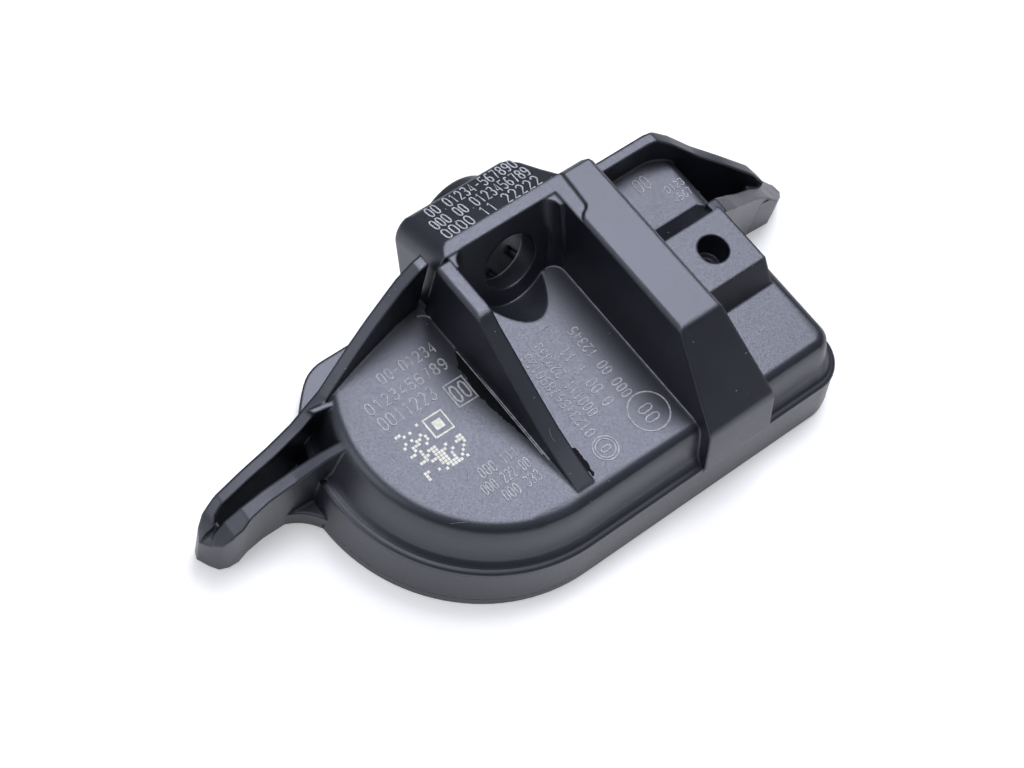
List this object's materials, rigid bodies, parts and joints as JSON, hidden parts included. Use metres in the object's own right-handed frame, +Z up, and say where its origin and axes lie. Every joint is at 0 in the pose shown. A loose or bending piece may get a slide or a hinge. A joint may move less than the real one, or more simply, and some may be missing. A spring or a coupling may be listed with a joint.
{
  "type": "tyre pressure sensor",
  "caption": "Wheel-mounted tyre pressure sensor: moulded case with cell and circuit inside, screw pocket and tilted seat for a snap-in valve, ribs and two wings.",
  "frame": {"origin": "centre of the bounding box at the height of the base cover's underside, the plane the sensor lies on", "axes": "+X along the wings towards the pressure port, +Y towards the valve, +Z up from the base cover to the screw pocket"},
  "size_m": [0.054, 0.0256, 0.0138],
  "materials": {
    "case_plastic": "moulded glass-filled plastic, fine speckle",
    "cover_plastic": "moulded glass-filled plastic",
    "seal_rubber": "cured sealing bead",
    "board_green": "solder mask",
    "pad_copper": "tinned copper",
    "cell_steel": "nickel-plated steel",
    "gasket_plastic": "moulded",
    "tab_nickel": "nickel strip",
    "chip_black": "moulded package",
    "lid_steel": "stamped lid",
    "gel_clear": "soft silicone gel",
    "port_rubber": "silicone rubber",
    "ferrite": "sintered ferrite",
    "copper_wire": "enamelled copper",
    "end_metal": "tinned ends",
    "ceramic": "fired ceramic",
    "crystal_metal": "plated lid",
    "antenna_brass": "stamped strip",
    "capacitor_tan": "fired ceramic",
    "resistor_black": "thick film",
    "inductor_grey": "ferrite body"
  },
  "bodies": {
    "root": {"housing": "case_plastic", "base_cover": "cover_plastic", "cover_seal": "seal_rubber", "circuit_board": "board_green", "board_pads": "pad_copper", "cell_can": "cell_steel", "cell_gasket": "gasket_plastic", "cell_cap": "cell_steel", "positive_tab": "tab_nickel", "negative_tab": "tab_nickel", "sensor_chip": "chip_black", "sensor_pads": "pad_copper", "sensor_lid": "lid_steel", "sensor_gel": "gel_clear", "port_seal": "port_rubber", "coil_core": "ferrite", "coil_winding": "copper_wire", "coil_ends": "end_metal", "crystal_base": "ceramic", "crystal_lid": "crystal_metal", "antenna": "antenna_brass", "capacitors": "capacitor_tan", "resistors": "resistor_black", "inductors": "inductor_grey"}
  },
  "joints": []
}
